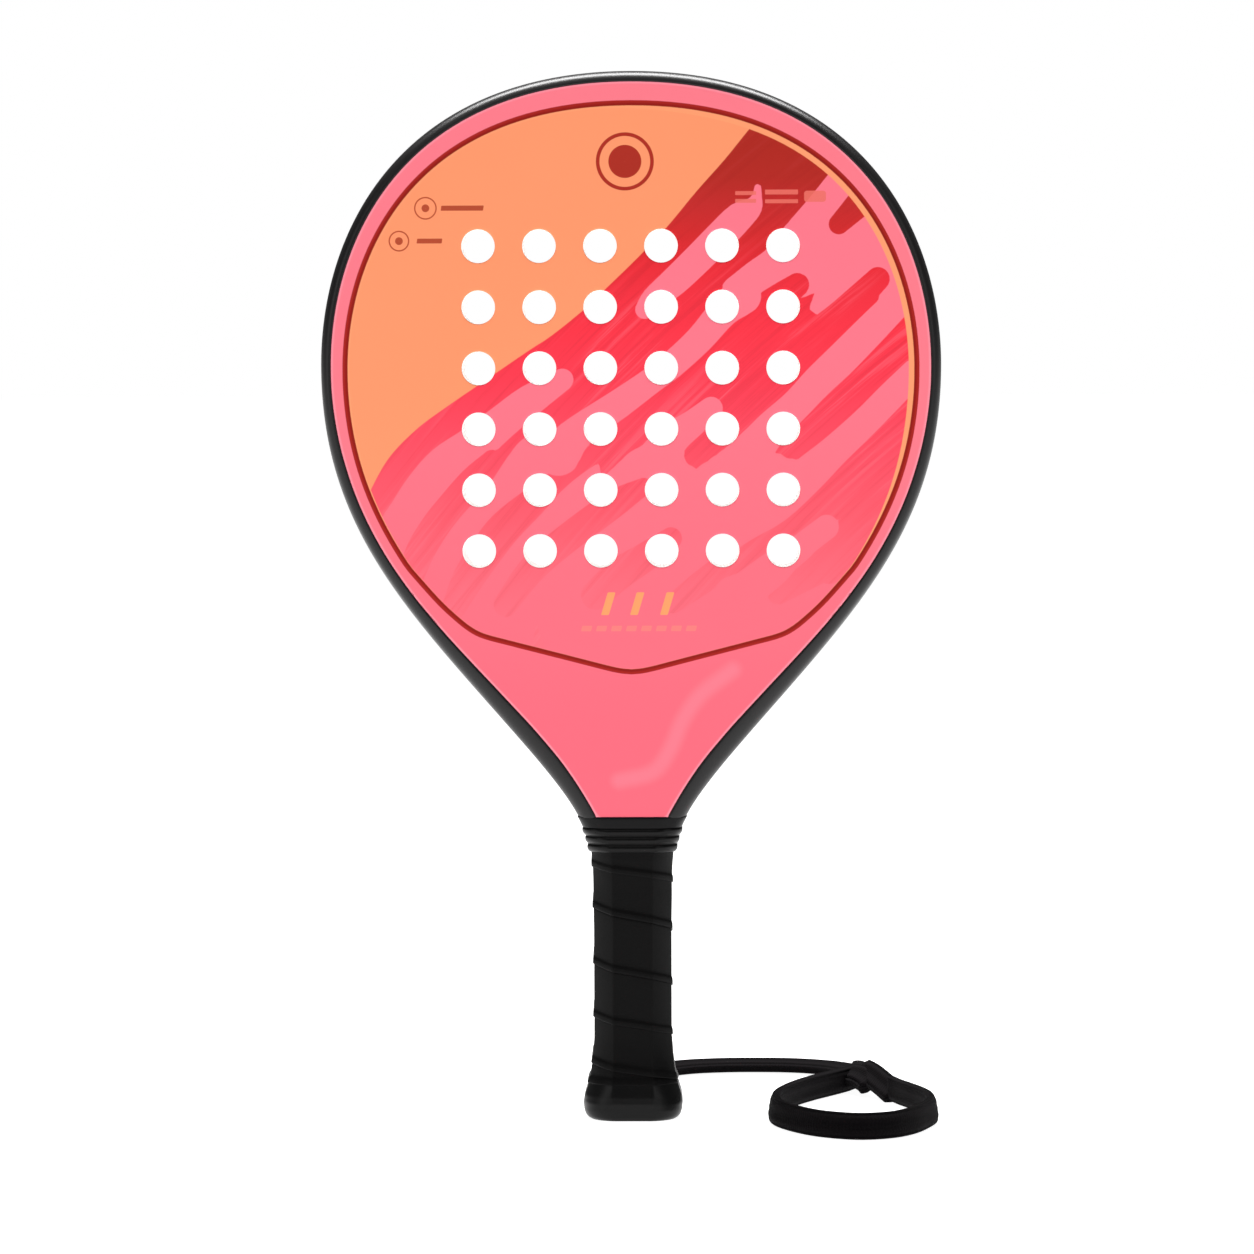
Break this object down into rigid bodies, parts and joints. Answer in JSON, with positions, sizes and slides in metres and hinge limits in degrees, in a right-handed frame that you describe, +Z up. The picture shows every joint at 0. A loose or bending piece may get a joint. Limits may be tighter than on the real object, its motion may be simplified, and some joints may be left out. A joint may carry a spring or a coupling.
{
  "type": "padel racket",
  "caption": "Teardrop padel racket with a perforated foam-core head, moulded faces, hollow rim tube, wrapped octagonal handle, ribbed collar, flared butt cap and a knotted wrist strap.",
  "frame": {"origin": "middle of the butt's underside, on the surface that the racket stands on", "axes": "+Z up along the racket from butt to head, +X to the right across the face, +Y through the thickness from the front face to the back face"},
  "size_m": [0.257, 0.2094, 0.436],
  "materials": {
    "eva_foam": "matte",
    "printed_face": "gloss",
    "frame_lacquer": "gloss",
    "bare_composite": "satin",
    "rigid_foam": "matte",
    "handle_plastic": "satin",
    "base_cushion": "matte",
    "grip_polyurethane": "satin",
    "finishing_vinyl": "satin",
    "collar_rubber": "satin",
    "cap_plastic": "satin",
    "pin_steel": "satin",
    "eyelet_plastic": "satin",
    "strap_braid": "matte"
  },
  "bodies": {
    "root": {"eva_core": "eva_foam", "front_face": "printed_face", "back_face": "printed_face", "frame_tube": "frame_lacquer", "bridge": "bare_composite", "throat_core": "rigid_foam", "handle_core": "rigid_foam", "handle_shell_front": "handle_plastic", "handle_shell_back": "handle_plastic", "base_grip": "base_cushion", "grip_tape": "grip_polyurethane", "finishing_tape": "finishing_vinyl", "grip_collar": "collar_rubber", "butt_cap": "cap_plastic", "butt_plug": "cap_plastic", "cap_pins": "pin_steel", "strap_eyelet": "eyelet_plastic", "strap_anchor": "strap_braid", "strap_lead": "strap_braid", "strap_knot": "strap_braid", "strap_loop": "strap_braid"}
  },
  "joints": []
}
